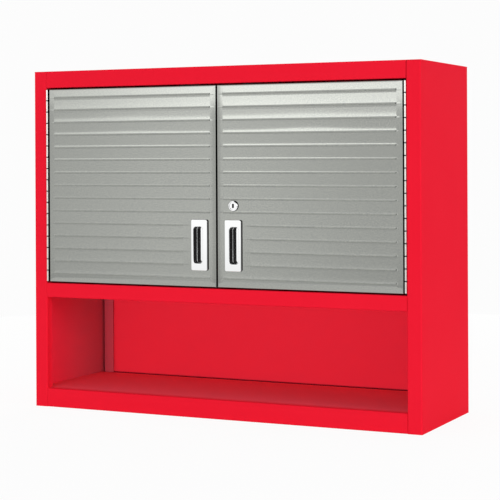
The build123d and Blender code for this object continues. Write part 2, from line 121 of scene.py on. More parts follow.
def red_powder_coat(name, reds, tint=None):
    """Baked polyester powder on steel: an even bright red, nearly matt, with a faint ripple. The ripple is
    about 1 mm wide and is drawn at 4 mm so that it shows. A tint changes the red from place to place."""
    ripple = 4 * MM
    drift = 160 * MM
    ripple_depth = 0.05 * MM
    material, tree, place = new_material(name)
    axes = add(tree, "ShaderNodeSeparateXYZ", {}, (place, 0)).outputs
    ripples = add(tree, "ShaderNodeTexNoise", {"Scale": 1 / ripple, "Detail": 1.0}, (place, "Vector"))
    drifts = add(tree, "ShaderNodeTexNoise", {"Scale": 1 / drift, "Detail": 2.0}, (place, "Vector"))
    shades = {"data_type": "RGBA", 6: linear(reds[0]), 7: linear(reds[1])}
    red = add(tree, "ShaderNodeMix", shades, (drifts, 0)).outputs[2]
    colour = tint(tree, axes, red) if tint else red
    rough = add(tree, "ShaderNodeMapRange", {3: 0.38, 4: 0.48}, (ripples, 0))
    bump = add(tree, "ShaderNodeBump", {"Strength": 0.1, "Distance": ripple_depth}, (ripples, "Height"))
    coat = add(
        tree, "ShaderNodeBsdfPrincipled", {"Specular IOR Level": 0.003},
        (colour, "Base Color"), (rough, "Roughness"), (bump, "Normal"),
    )
    add(tree, "ShaderNodeOutputMaterial", {}, (coat, "Surface"))
    return material


def side_wall_painted_light_and_shade(tree, axes, red):
    """Red of a side wall: as sprayed on its outside and stile, paler on its inside behind the stile as
    painted light, and duller and darker the nearer it is to the rear flange as painted shade."""
    aside = add(tree, "ShaderNodeMath", {"operation": "ABSOLUTE"}, (axes["X"], 0))
    outwards = {**smooth, 1: wall_outside[0], 2: wall_outside[1], 3: 1.0, 4: 0.0}
    within = add(tree, "ShaderNodeMapRange", outwards, (aside, 0))
    pale_reach = {**smooth, 1: painted_light_wall_reach[0], 2: painted_light_wall_reach[1]}
    behind = add(tree, "ShaderNodeMapRange", pale_reach, (axes["Y"], 0))
    dull_reach = {**smooth, 1: painted_shade_wall_reach[0], 2: painted_shade_wall_reach[1]}
    deep = add(tree, "ShaderNodeMapRange", dull_reach, (axes["Y"], 0))
    inside = add(tree, "ShaderNodeMath", {"operation": "MULTIPLY"}, (behind, 0), (within, 1))
    deep_inside = add(tree, "ShaderNodeMath", {"operation": "MULTIPLY"}, (deep, 0), (within, 1))
    pale = {"data_type": "RGBA", 7: linear(painted_light_wall_red)}
    red_with_painted_light = add(tree, "ShaderNodeMix", pale, (inside, 0), (red, 6)).outputs[2]
    dull = {"data_type": "RGBA", 7: linear(painted_shade_wall_red)}
    return add(tree, "ShaderNodeMix", dull, (deep_inside, 0), (red_with_painted_light, 6)).outputs[2]


def base_floor_painted_light(tree, axes, red):
    """Red of the base: as sprayed on its rail, and paler on the floor behind it as painted light."""
    reach = {**smooth, 1: painted_light_floor_reach[0], 2: painted_light_floor_reach[1]}
    behind = add(tree, "ShaderNodeMapRange", reach, (axes["Y"], 0))
    pale = {"data_type": "RGBA", 7: linear(painted_light_floor_red)}
    return add(tree, "ShaderNodeMix", pale, (behind, 0), (red, 6)).outputs[2]


red_coat = red_powder_coat("red_powder_coat", bright_reds)
side_coat = red_powder_coat("red_powder_coat_on_sides", bright_reds, side_wall_painted_light_and_shade)
# The base's floor behind its rail is painted paler, as painted light.
base_coat = red_powder_coat("red_powder_coat_on_base", bright_reds, base_floor_painted_light)
coat_nodes(red_coat, "top_panel", "divider_panel")
coat_nodes(side_coat, "left_side_panel", "right_side_panel")
coat_nodes(base_coat, "base_panel")


# Back of the cabinet: a sheet with joggled edges on the rear flanges and two hat channels behind it
# that carry the wall bolts, sprayed with the carcass. Aluminium rivets hold the sheet, with bare heads.

back_sheet = 0.9 * MM
back_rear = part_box("back_panel")[1][1]
back_outside = back_rear - 0.7 * back_sheet, back_rear - 0.3 * back_sheet
bay_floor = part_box("base_panel")[1][2]
# A band this high above the bay's floor is painted dark red on the back panel, as painted shade.
seam_shade_edge = bay_floor + 0.6 * MM, bay_floor + 1.9 * MM
# The back panel's inside is painted a brighter red than the carcass, as painted light.
back_painted_light_reds = "#fe3248", "#ff354b"
seam_shade_red = "#8f1c29"
scuff = 1.5 * MM


def back_painted_light_and_shade(tree, axes, red):
    """Red of the back panel: a brighter red inside as painted light, the carcass's red outside, and a
    dark red line at the bay's floor as painted shade."""
    outwards = {**smooth, 1: back_outside[0], 2: back_outside[1]}
    outside = add(tree, "ShaderNodeMapRange", outwards, (axes["Y"], 0))
    upwards = {**smooth, 1: seam_shade_edge[0], 2: seam_shade_edge[1], 3: 1.0, 4: 0.0}
    low = add(tree, "ShaderNodeMapRange", upwards, (axes["Z"], 0))
    difference = {"operation": "SUBTRACT", "use_clamp": True}
    seam_shade = add(tree, "ShaderNodeMath", difference, (low, 0), (outside, 1))
    plain = {"data_type": "RGBA", 7: linear(bright_reds[0])}
    sprayed = add(tree, "ShaderNodeMix", plain, (outside, 0), (red, 6)).outputs[2]
    painted_shade = {"data_type": "RGBA", 7: linear(seam_shade_red)}
    return add(tree, "ShaderNodeMix", painted_shade, (seam_shade, 0), (sprayed, 6)).outputs[2]


def cloudy_metal(name, shades, roughness, patch, detail):
    """Bare or plated metal, cloudy in patches of one size: its shade and its roughness change together."""
    material, tree, place = new_material(name)
    clouds = add(tree, "ShaderNodeTexNoise", {"Scale": 1 / patch, "Detail": detail}, (place, "Vector"))
    colours = {"data_type": "RGBA", 6: linear(shades[0]), 7: linear(shades[1])}
    colour = add(tree, "ShaderNodeMix", colours, (clouds, 0)).outputs[2]
    rough = add(tree, "ShaderNodeMapRange", {3: roughness[0], 4: roughness[1]}, (clouds, 0))
    metal = add(
        tree, "ShaderNodeBsdfPrincipled", {"Metallic": 1.0}, (colour, "Base Color"), (rough, "Roughness"),
    )
    add(tree, "ShaderNodeOutputMaterial", {}, (metal, "Surface"))
    return material


# Aluminium rivet wire is a pale metal, scuffed by the setting tool.
aluminium = cloudy_metal("drawn_aluminium", ("#c3c5c7", "#dcdddd"), (0.28, 0.45), scuff, 3.0)
back_coat = red_powder_coat("red_powder_coat_on_back", back_painted_light_reds, back_painted_light_and_shade)
coat_nodes(back_coat, "back_panel")
coat_nodes(red_coat, "upper_hanging_rail", "lower_hanging_rail")
coat_nodes(aluminium, "back_panel_rivets")


# Shelf: a folded and coated sheet that lies on four clips, hooked into slotted channels on the
# side walls. Channels and clips are pressed steel, zinc plated in a barrel.

zinc_bloom = 6 * MM

# Bright zinc is a cool grey metal, cloudy in patches a few millimetres wide.
zinc = cloudy_metal("zinc_plate", ("#aeb3b9", "#cfd2d3"), (0.24, 0.42), zinc_bloom, 3.0)
coat_nodes(red_coat, "adjustable_shelf")
coat_nodes(zinc, "shelf_standards", "shelf_clips")


# Magnetic catches above and below the doors: a moulded black housing on the frame with a sintered
# ferrite block in its mouth, and a zinc-plated strike on the rear of each door.

def moulded_plastic():
    """Matt black moulded plastic with a fine spark-eroded grain. The grain is under 0.5 mm wide and is
    drawn at 1.2 mm so that it shows."""
    grain = 1.2 * MM
    grain_depth = 0.08 * MM
    material, tree, place = new_material("black_moulded_plastic")
    grains = add(tree, "ShaderNodeTexNoise", {"Scale": 1 / grain, "Detail": 2.0}, (place, "Vector"))
    bump = add(tree, "ShaderNodeBump", {"Strength": 0.3, "Distance": grain_depth}, (grains, "Height"))
    rough = add(tree, "ShaderNodeMapRange", {3: 0.42, 4: 0.6}, (grains, 0))
    plastic = add(
        tree, "ShaderNodeBsdfPrincipled", {"Base Color": linear("#17181a"), "IOR": 1.5},
        (rough, "Roughness"), (bump, "Normal"),
    )
    add(tree, "ShaderNodeOutputMaterial", {}, (plastic, "Surface"))
    return material


def sintered_ferrite():
    """Ground ferrite: dull dark charcoal with slightly paler specks, drawn at 1.5 mm so that they show."""
    speck = 1.5 * MM
    material, tree, place = new_material("sintered_ferrite")
    specks = add(tree, "ShaderNodeTexNoise", {"Scale": 1 / speck, "Detail": 4.0}, (place, "Vector"))
    shades = {"data_type": "RGBA", 6: linear("#2a2b2d"), 7: linear("#4a4b4d")}
    colour = add(tree, "ShaderNodeMix", shades, (specks, 0)).outputs[2]
    block = add(tree, "ShaderNodeBsdfPrincipled", {"Roughness": 0.55}, (colour, "Base Color"))
    add(tree, "ShaderNodeOutputMaterial", {}, (block, "Surface"))
    return material


coat_nodes(moulded_plastic(), "catch_housings")
coat_nodes(sintered_ferrite(), "catch_magnets")
coat_nodes(zinc, "left_catch_strikes", "right_catch_strikes")


# Continuous hinges: steel strip rolled into knuckles round a pin the height of the door, nickel
# plated, and riveted to the stiles' returns and the doors' edges. The pins are blackened wire. The
# ends of the knuckles and the gap behind them are painted near black, as painted shade.

knuckle_count = 17
# Painted shade: the knuckles are coloured near black this far from each joint, and behind the pin's middle.
knuckle_shade_ring = 1.0 * MM, 1.5 * MM
pin_low, pin_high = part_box("right_hinge_pin")
half_knuckle = (pin_high[2] - pin_low[2]) / knuckle_count / 2
pin_middle = (pin_low[1] + pin_high[1]) / 2
knuckle_shade_gap = pin_middle + 0.2 * MM, pin_middle + 0.7 * MM
knuckle_shade_black = "#26262a"
wire_streak = 2 * MM


def nickel_plate():
    """Bright nickel: warm white metal with a faint haze from the plating bath. It is painted near black at
    the ends of the knuckles and back in the gap beside the door, as painted shade."""
    haze = 9 * MM
    material, tree, place = new_material("nickel_plate")
    axes = add(tree, "ShaderNodeSeparateXYZ", {}, (place, 0)).outputs
    height = add(tree, "ShaderNodeMath", {"operation": "SUBTRACT", 1: pin_low[2]}, (axes["Z"], 0))
    off_joint = add(tree, "ShaderNodeMath", {"operation": "PINGPONG", 1: half_knuckle}, (height, 0))
    ring_edge = {**smooth, 1: knuckle_shade_ring[0], 2: knuckle_shade_ring[1], 3: 1.0, 4: 0.0}
    rings = add(tree, "ShaderNodeMapRange", ring_edge, (off_joint, 0))
    inwards = {**smooth, 1: knuckle_shade_gap[0], 2: knuckle_shade_gap[1]}
    sunk = add(tree, "ShaderNodeMapRange", inwards, (axes["Y"], 0))
    knuckle_shade = add(tree, "ShaderNodeMath", {"operation": "MAXIMUM"}, (rings, 0), (sunk, 1))
    hazes = add(tree, "ShaderNodeTexNoise", {"Scale": 1 / haze, "Detail": 2.0}, (place, "Vector"))
    shades = {"data_type": "RGBA", 6: linear("#dcd9d3"), 7: linear("#efede8")}
    unshaded_nickel = add(tree, "ShaderNodeMix", shades, (hazes, 0)).outputs[2]
    knuckle_shade_colour = {"data_type": "RGBA", 7: linear(knuckle_shade_black)}
    colour = add(tree, "ShaderNodeMix", knuckle_shade_colour, (knuckle_shade, 0), (unshaded_nickel, 6)).outputs[2]
    rough = add(tree, "ShaderNodeMapRange", {3: 0.14, 4: 0.24}, (hazes, 0))
    metal = add(
        tree, "ShaderNodeBsdfPrincipled", {"Metallic": 1.0}, (colour, "Base Color"), (rough, "Roughness"),
    )
    add(tree, "ShaderNodeOutputMaterial", {}, (metal, "Surface"))
    return material


# Blackened and oiled steel wire is nearly black, with a dull streaky shine.
wire = cloudy_metal("oiled_steel_wire", ("#16171a", "#2a2b2e"), (0.3, 0.5), wire_streak, 2.0)
coat_nodes(
    nickel_plate(), "left_hinge_frame_leaf", "right_hinge_frame_leaf", "left_hinge_door_leaf",
    "right_hinge_door_leaf",
)
coat_nodes(wire, "left_hinge_pin", "right_hinge_pin")
coat_nodes(aluminium, "hinge_frame_rivets", "left_hinge_door_rivets", "right_hinge_door_rivets")


# Door skins: one sheet of satin steel each, pressed with fifteen clapboard ribs and folded back at
# all four edges into a pan. Each rib swells gently, kicks out to a lip and steps back to the face,
# and two ribs near the top are slack enough to belly in the middle.

sharp_limit = math.radians(35)
merge_reach = 0.0005 * MM
bend_steps = 6
end_steps = 6
span_steps = 16
fine_step = 0.05 * MM
fine_margin = 2 * MM
fold_window = np.hanning(11)
rib_count = 15
rib_proud = 1.3 * MM
rib_step = 0.8 * MM
rib_swell = 0.09 * MM
rib_flare = 0.067 * MM
flare_run = 2.5 * MM
right_flare_lean = -0.4
left_flare_lean = 0.3
firm_belly = 0.1
slack_ribs = [11, 12]
right_belly = np.full(rib_count, firm_belly)
right_belly[slack_ribs] = 1.1, 0.35
left_belly = np.full(rib_count, firm_belly)
left_belly[slack_ribs] = 0.5, 0.45
rib_end = 2.5 * MM
rib_margin = 12 * MM
lip_top = 3.7 * MM
lip_slope = 0.36
lowest_rib = 18 * MM
highest_rib = 20.5 * MM
step_stations = np.array([-0.4, -0.1, 0.1, 0.3, 0.5, 0.7, 0.9, 1.2, 2, 2.8]) * MM
flare_stations = np.array([3.3, 3.5, 3.7, 3.9, 4.2, 4.7, 5.4, 6.4, 7.8, 9.6, 12, 15, 19, 23]) * MM
rib_stations = np.concatenate([step_stations, flare_stations])
door_bend = 2 * MM
door_sheet = 1 * MM
handle_pad = 19 * MM
pocket_size = np.array([22.4, 78.6]) * MM
pocket_shift = 2.7 * MM
pocket_wall = 1.6 * MM
barrel_square = 7.6 * MM
door_low, door_high = (np.array(corner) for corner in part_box("right_door_skin"))
handle_low, handle_high = (np.array(corner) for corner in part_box("right_handle"))
lock_low, lock_high = (np.array(corner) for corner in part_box("lock_housing"))
front = door_low[1] + rib_proud
door_thickness = door_high[1] - front
rib_lines = np.linspace(door_low[2] + lowest_rib, door_high[2] - highest_rib, rib_count)
rib_pitch = rib_lines[1] - rib_lines[0]
rib_start = door_low[0] + rib_margin
rib_stop = door_high[0] - rib_margin
handle_middle = (handle_low + handle_high) / 2
handle_size = (handle_high - handle_low)[[0, 2]]
short_start = handle_high[0] + handle_pad
pocket_x = handle_middle[0] + pocket_shift
trough = pocket_size / 2 + 2 * pocket_wall
lock_middle = (lock_low + lock_high) / 2
handle_hole = [
    pocket_x - trough[0], pocket_x + trough[0],
    handle_middle[2] - trough[1], handle_middle[2] + trough[1],
]
lock_hole = [
    lock_middle[0] - barrel_square, lock_middle[0] + barrel_square,
    lock_middle[2] - barrel_square, lock_middle[2] + barrel_square,
]
mirror = np.array([-1, 1, 1])


def surface(name, points, faces):
    """Mesh of points and four-sided faces: doubled points merged, faces turned outwards, and smooth
    but for edges sharper than the limit."""
    mesh = bpy.data.meshes.new(name)
    mesh.from_pydata(points.reshape(-1, 3).tolist(), [], faces.reshape(-1, 4).tolist())
    shape = bmesh.new()
    shape.from_mesh(mesh)
    bmesh.ops.remove_doubles(shape, verts=shape.verts, dist=merge_reach)
    bmesh.ops.recalc_face_normals(shape, faces=shape.faces)
    shape.to_mesh(mesh)
    shape.free()
    mesh.shade_smooth()
    mesh.set_sharp_from_angle(angle=sharp_limit)
    return mesh


def grid_faces(index):
    """Faces between neighbouring rows and columns of a grid of point numbers."""
    corners = index[:-1, :-1], index[:-1, 1:], index[1:, 1:], index[1:, :-1]
    return np.stack(corners, axis=-1).reshape(-1, 4)


def fit_piece(name, mesh, material, body, node):
    """Puts a finished mesh in the scene in the place of a CAD node."""
    mesh.materials.append(material)
    piece = bpy.data.objects.new(name, mesh)
    bpy.context.scene.collection.objects.link(piece)
    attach(piece, body)
    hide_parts(node)


def perimeter(block):
    """Point numbers round the edge of a block of a grid, once about."""
    return np.concatenate([block[0, :-1], block[:-1, -1], block[-1, :0:-1], block[:0:-1, 0]])


def pan_profile(low, high, depth, radius, places):
    """Places across a folded pan and how far each lies behind the face: up a side wall, round a
    quarter bend, over the places on the face, and down the same way on the other side."""
    turn = np.radians(np.linspace(90, 0, bend_steps))
    inset = radius * (1 - np.sin(turn))
    set_back = radius * (1 - np.cos(turn))
    across = np.concatenate([[low], low + inset, places, high - inset[::-1], [high]])
    behind = np.concatenate([[depth], set_back, 0 * places, set_back[::-1], [depth]])
    return across, behind


def rib_height(rise, swell_share, flare_share):
    """How far the skin stands proud at a rise above a rib's line, for shares of the full swell and flare:
    straight up the step to the lip, straight down the kicked lip, then a cubic swell and a dying flare
    that end at the next line. A bell window rounds the folds."""
    fine = np.arange(-fine_margin, rib_pitch + fine_margin, fine_step)
    below_lip = np.clip(fine, lip_top, None)
    left_over = np.clip(1 - fine / rib_pitch, 0, None)
    swell = swell_share * rib_swell * left_over ** 3
    flare = flare_share * rib_flare * np.exp((lip_top - below_lip) / flare_run) * left_over
    kick = np.clip((lip_top - fine) * lip_slope, 0, None)
    shape = np.clip(np.minimum(rib_proud * fine / rib_step, swell + flare + kick), 0, None)
    return np.interp(rise, fine, np.convolve(shape, fold_window / fold_window.sum(), "same"))


def door_skin(holes, belly, flare_lean):
    """Points and faces of the right door's skin: an outer pan less the ribs, an inner pan one sheet
    thickness within, and rims that join the two round the edge and round each rectangular hole. Ribs
    run out smoothly at their ends, and those beside the handle start clear of it. The flare changes
    evenly from one end of a rib to the other, and the swell has a belly in the middle, a sine to the
    fourth power, larger where the sheet is slack."""
    hole_x = np.array([hole[:2] for hole in holes]).ravel()
    hole_z = np.array([hole[2:] for hole in holes]).ravel()
    run = rib_end * np.linspace(0, 1, end_steps)
    span = np.linspace(short_start + 2 * rib_end, rib_stop - 2 * rib_end, span_steps)
    stations = [rib_start + run, short_start + run, rib_stop - run, span, hole_x]
    columns = np.unique(np.concatenate(stations))
    rows = np.unique(np.concatenate([(rib_lines[:, None] + rib_stations).ravel(), hole_z]))
    rows = rows[(rows > door_low[2] + door_bend) & (rows < door_high[2] - door_bend)]
    x, behind_x = pan_profile(door_low[0], door_high[0], door_thickness, door_bend, columns)
    z, behind_z = pan_profile(door_low[2], door_high[2], door_thickness, door_bend, rows)
    beside_handle = np.abs(rib_lines - handle_middle[2]) < handle_size[1] / 2
    run_in = np.clip((x - np.where(beside_handle, short_start, rib_start)[:, None]) / rib_end, 0, 1)
    run_out = np.clip((rib_stop - x) / rib_end, 0, 1)
    ends = run_in ** 2 * (3 - 2 * run_in) * run_out ** 2 * (3 - 2 * run_out)
    along = np.clip((x - rib_start) / (rib_stop - rib_start), 0, 1)
    swelling = 1 + belly[:, None] * np.sin(np.pi * along) ** 4
    flaring = 1 + flare_lean * (2 * along - 1)
    rise = z[:, None] - rib_lines
    plain = rib_height(rise, 0.0, 0.0)
    swollen = rib_height(rise, 1.0, 0.0) - plain
    flared = rib_height(rise, 1.0, 1.0) - plain - swollen
    ribs = plain @ ends + swollen @ (ends * swelling) + flared @ (ends * flaring)
    behind = np.maximum(behind_z[:, None], behind_x)
    outer = np.stack(np.broadcast_arrays(x, front + behind - ribs, z[:, None]), axis=-1)
    inner_x = np.clip(x, x[0] + door_sheet, x[-1] - door_sheet)
    inner_z = np.clip(z, z[0] + door_sheet, z[-1] - door_sheet)[:, None]
    inner_y = np.minimum(front + door_sheet + behind, front + door_thickness)
    inner = np.stack(np.broadcast_arrays(inner_x, inner_y, inner_z), axis=-1)
    index = np.arange(behind.size).reshape(behind.shape)
    solid = np.ones((len(z) - 1, len(x) - 1), bool)
    edges = [perimeter(index)]
    for left, right, low, high in holes:
        column = slice(np.searchsorted(x, left), np.searchsorted(x, right))
        row = slice(np.searchsorted(z, low), np.searchsorted(z, high))
        solid[row, column] = False
        edges.append(perimeter(index[row.start:row.stop + 1, column.start:column.stop + 1]))
    face = grid_faces(index)[solid.ravel()]
    strips = [(edge, np.roll(edge, -1)) for edge in edges]
    rims = [np.stack([a, b, b + index.size, a + index.size], axis=-1) for a, b in strips]
    faces = np.concatenate([face, face[:, ::-1] + index.size, *rims])
    return np.concatenate([outer.reshape(-1, 3), inner.reshape(-1, 3)]), faces


def satin_steel():
    """Satin-rolled steel under a clear film: mid grey metal, smooth enough to hold a soft picture of
    the room, with a fine mottle. The mottle is under 1 mm wide and is drawn at 2 mm so that it shows."""
    mottle = 2 * MM
    drift = 90 * MM
    material, tree, place = new_material("satin_steel")
    mottles = add(tree, "ShaderNodeTexNoise", {"Scale": 1 / mottle, "Detail": 3.0}, (place, "Vector"))
    drifts = add(tree, "ShaderNodeTexNoise", {"Scale": 1 / drift, "Detail": 2.0}, (place, "Vector"))
    shades = {"data_type": "RGBA", 6: linear("#86888a"), 7: linear("#babcb2")}
    colour = add(tree, "ShaderNodeMix", shades, (mottles, 0)).outputs[2]
    rough = add(tree, "ShaderNodeMapRange", {3: 0.045, 4: 0.06}, (drifts, 0))
    metal = add(
        tree, "ShaderNodeBsdfPrincipled", {"Metallic": 1.0}, (colour, "Base Color"), (rough, "Roughness"),
    )
    add(tree, "ShaderNodeOutputMaterial", {}, (metal, "Surface"))
    return material


steel = satin_steel()
right_points, right_faces = door_skin([handle_hole, lock_hole], right_belly, right_flare_lean)
left_points, left_faces = door_skin([handle_hole], left_belly, left_flare_lean)
right_skin = surface("right_ribbed_skin", right_points, right_faces)
left_skin = surface("left_ribbed_skin", left_points * mirror, left_faces)
fit_piece("right_ribbed_skin", right_skin, steel, "right_door", "right_door_skin")
fit_piece("left_ribbed_skin", left_skin, steel, "left_door", "left_door_skin")


# Door liners: inner pans of thin sheet that close the skins from behind and stiffen them, folded to
# fit inside the skins' edges and sprayed grey.

def grey_enamel():
    """Sprayed grey enamel: satin, with the faint cloudiness of a single coat."""
    cloud = 60 * MM
    ripple = 3 * MM
    ripple_depth = 0.05 * MM
    material, tree, place = new_material("grey_enamel")
    clouds = add(tree, "ShaderNodeTexNoise", {"Scale": 1 / cloud, "Detail": 2.0}, (place, "Vector"))
    ripples = add(tree, "ShaderNodeTexNoise", {"Scale": 1 / ripple, "Detail": 1.0}, (place, "Vector"))
    shades = {"data_type": "RGBA", 6: linear("#9b9d9b"), 7: linear("#a5a7a4")}
    colour = add(tree, "ShaderNodeMix", shades, (clouds, 0)).outputs[2]
    bump = add(tree, "ShaderNodeBump", {"Strength": 0.15, "Distance": ripple_depth}, (ripples, "Height"))
    paint = add(
        tree, "ShaderNodeBsdfPrincipled", {"Roughness": 0.42, "IOR": 1.5},
        (colour, "Base Color"), (bump, "Normal"),
    )
    add(tree, "ShaderNodeOutputMaterial", {}, (paint, "Surface"))
    return material


coat_nodes(grey_enamel(), "left_door_liner", "right_door_liner")


# Pull handles: die-cast plates with a finger pocket sunk through the skin, polished and chromium
# plated, and drawn onto each door by two zinc-plated screws from inside.

flat_lead = 0.2 * MM
plate_foot = 0.8 * MM
plate_edge = 1.2 * MM
plate_corner = 4 * MM
pocket_rim = 0.8 * MM
pocket_corner = 7 * MM
pocket_depth = 13.5 * MM
pocket_round = 0.45 * MM
corner_steps = 9
shell_steps = 7
edge_steps = 6
rim_steps = 5
floor_steps = 9
foot_fade = 0.4 * MM
trough_fade = 0.5 * MM
chrome_white = "#f5f6f6"
# Black of the painted shade round the foot of the chrome plates and behind the lock's rim.
foot_shade_black = "#1a1b1d"


def quarter(radius, steps):
    """Way in from a wall and way back from a face: a short straight lead on the wall, a quarter
    circle, and a short straight lead on the face. The leads keep wall and face flat to the eye."""
    turn = np.radians(np.linspace(0, 90, steps))
    way_in = np.concatenate([[0], radius * (1 - np.cos(turn)), [radius + flat_lead]])
    return way_in, np.concatenate([[radius + flat_lead], radius * (1 - np.sin(turn)), [0]])


def rounded_loops(middle_x, half, corner, inset, depth):
    """Rounded rectangles drawn in by each inset at its depth: quarter circles joined by straight sides."""
    inset = inset[:, None, None]
    radius = np.clip(corner - inset, 0, None)
    turn = np.radians(np.linspace(0, 90, corner_steps) + 90 * np.arange(4)[:, None])
    side_x = np.array([1, -1, -1, 1])[:, None]
    side_z = np.array([1, 1, -1, -1])[:, None]
    x = middle_x + side_x * (half[0] - inset - radius) + radius * np.cos(turn)
    z = handle_middle[2] + side_z * (half[1] - inset - radius) + radius * np.sin(turn)
    return np.stack(np.broadcast_arrays(x, depth[:, None, None], z), axis=-1).reshape(len(depth), -1, 3)


def handle_loops():
    """Right handle as nested loops: from the middle of the trough's outside up to the plate, round
    the plate's edge to its face, over the pocket's rim and down its wall to the middle of its floor."""
    face = handle_low[1]
    floor = front + pocket_depth
    underside = floor + pocket_wall
    shell_in, shell_back = quarter(pocket_round + pocket_wall, shell_steps)
    edge_in, edge_back = quarter(plate_edge, edge_steps)
    rim_in, rim_back = quarter(pocket_rim, rim_steps)
    floor_in, floor_back = quarter(pocket_round, floor_steps)
    shell = pocket_size / 2 + pocket_wall
    pocket = pocket_size / 2
    plate = handle_size / 2
    shell_corner = pocket_corner + pocket_wall
    return np.concatenate([
        rounded_loops(pocket_x, shell, shell_corner, shell[:1], np.array([underside])),
        rounded_loops(pocket_x, shell, shell_corner, shell_in[::-1], underside - shell_back[::-1]),
        rounded_loops(pocket_x, shell, shell_corner, np.zeros(1), np.array([front])),
        rounded_loops(handle_middle[0], plate, plate_corner, np.zeros(1), np.array([front])),
        rounded_loops(handle_middle[0], plate, plate_corner, edge_in, face + edge_back),
        rounded_loops(pocket_x, pocket, pocket_corner, -rim_back, face + rim_in),
        rounded_loops(pocket_x, pocket, pocket_corner, floor_in, floor - floor_back),
        rounded_loops(pocket_x, pocket, pocket_corner, pocket[:1], np.array([floor])),
    ])


def bright_chrome(name, foot_start):
    """Chromium over nickel on a polished casting: a clear cool mirror with the faintest polishing haze.
    Round its foot, outside the pocket, it is painted black as painted shade."""
    haze = 12 * MM
    material, tree, place = new_material(name)
    axes = add(tree, "ShaderNodeSeparateXYZ", {}, (place, 0)).outputs
    aside = add(tree, "ShaderNodeMath", {"operation": "ABSOLUTE"}, (axes["X"], 0))
    across = add(tree, "ShaderNodeMath", {"operation": "SUBTRACT", 1: pocket_x}, (aside, 0))
    beside = add(tree, "ShaderNodeMath", {"operation": "ABSOLUTE"}, (across, 0))
    along = add(tree, "ShaderNodeMath", {"operation": "SUBTRACT", 1: handle_middle[2]}, (axes["Z"], 0))
    above = add(tree, "ShaderNodeMath", {"operation": "ABSOLUTE"}, (along, 0))
    side_edge = {**smooth, 1: trough[0] - trough_fade, 2: trough[0]}
    out_x = add(tree, "ShaderNodeMapRange", side_edge, (beside, 0))
    end_edge = {**smooth, 1: trough[1] - trough_fade, 2: trough[1]}
    out_z = add(tree, "ShaderNodeMapRange", end_edge, (above, 0))
    outside = add(tree, "ShaderNodeMath", {"operation": "MAXIMUM"}, (out_x, 0), (out_z, 1))
    foot_edge = {**smooth, 1: foot_start, 2: foot_start + foot_fade}
    low = add(tree, "ShaderNodeMapRange", foot_edge, (axes["Y"], 0))
    foot_shade = add(tree, "ShaderNodeMath", {"operation": "MULTIPLY"}, (outside, 0), (low, 1))
    shades = {"data_type": "RGBA", 6: linear(chrome_white), 7: linear(foot_shade_black)}
    colour = add(tree, "ShaderNodeMix", shades, (foot_shade, 0)).outputs[2]
    hazes = add(tree, "ShaderNodeTexNoise", {"Scale": 1 / haze, "Detail": 2.0}, (place, "Vector"))
    rough = add(tree, "ShaderNodeMapRange", {3: 0.02, 4: 0.05}, (hazes, 0))
    metal = add(
        tree, "ShaderNodeBsdfPrincipled", {"Metallic": 1.0}, (colour, "Base Color"), (rough, "Roughness"),
    )
    add(tree, "ShaderNodeOutputMaterial", {}, (metal, "Surface"))
    return material


# Round the plate's foot, outside the pocket, the chrome is painted black as painted shade.
chrome = bright_chrome("bright_chrome", handle_low[1] + plate_foot)
loops = handle_loops()
ring = np.pad(np.arange(loops[..., 0].size).reshape(loops.shape[:2]), ((0, 0), (0, 1)), "wrap")
right_pull = surface("right_chrome_pull", loops, grid_faces(ring))
left_pull = surface("left_chrome_pull", loops * mirror, grid_faces(ring))
fit_piece("right_chrome_pull", right_pull, chrome, "right_door", "right_handle")
fit_piece("left_chrome_pull", left_pull, chrome, "left_door", "left_handle")
coat_nodes(zinc, "left_handle_screws", "right_handle_screws")


# Cam lock in the right door: a turned and chromed body with a sloped rim round its plug, clamped by
# a nut from behind. The plug carries a flat cam, which turns behind a bent keeper on the left door.

bezel_slope = np.array([2.4, 1.5]) * MM
bezel_foot = 0.95 * MM
# Painted shade: round the keyway's mouth, this far from its middle, the plug is coloured near black.
keyway_mouth_shade = np.array([2.0, 4.2]) * MM
keyway_mouth_fade = 0.5 * MM
bore_round = 0.3 * MM
bore_steps = 4
barrel_radius = 9 * MM
head_seat = 8.05 * MM
plug_bore = 6.05 * MM
seat_depth = 4.05 * MM
turn_steps = 64
bezel_radius = (lock_high[0] - lock_low[0]) / 2
plug_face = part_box("lock_plug")[0][1]
# Painted shade: behind this depth, inside the keyway, the plug is coloured near black.
keyway_shade_depth = plug_face + 0.2 * MM, plug_face + 0.6 * MM
keyway_shade_black = "#15120c"


def turned(profile, middle, steps):
    """A closed profile of radius and depth turned once about a line along Y through the middle."""
    turn = 2 * np.pi * np.arange(steps) / steps
    x = middle[0] + profile[:, :1] * np.cos(turn)
    z = middle[2] + profile[:, :1] * np.sin(turn)
    return np.stack(np.broadcast_arrays(x, profile[:, 1:], z), axis=-1)


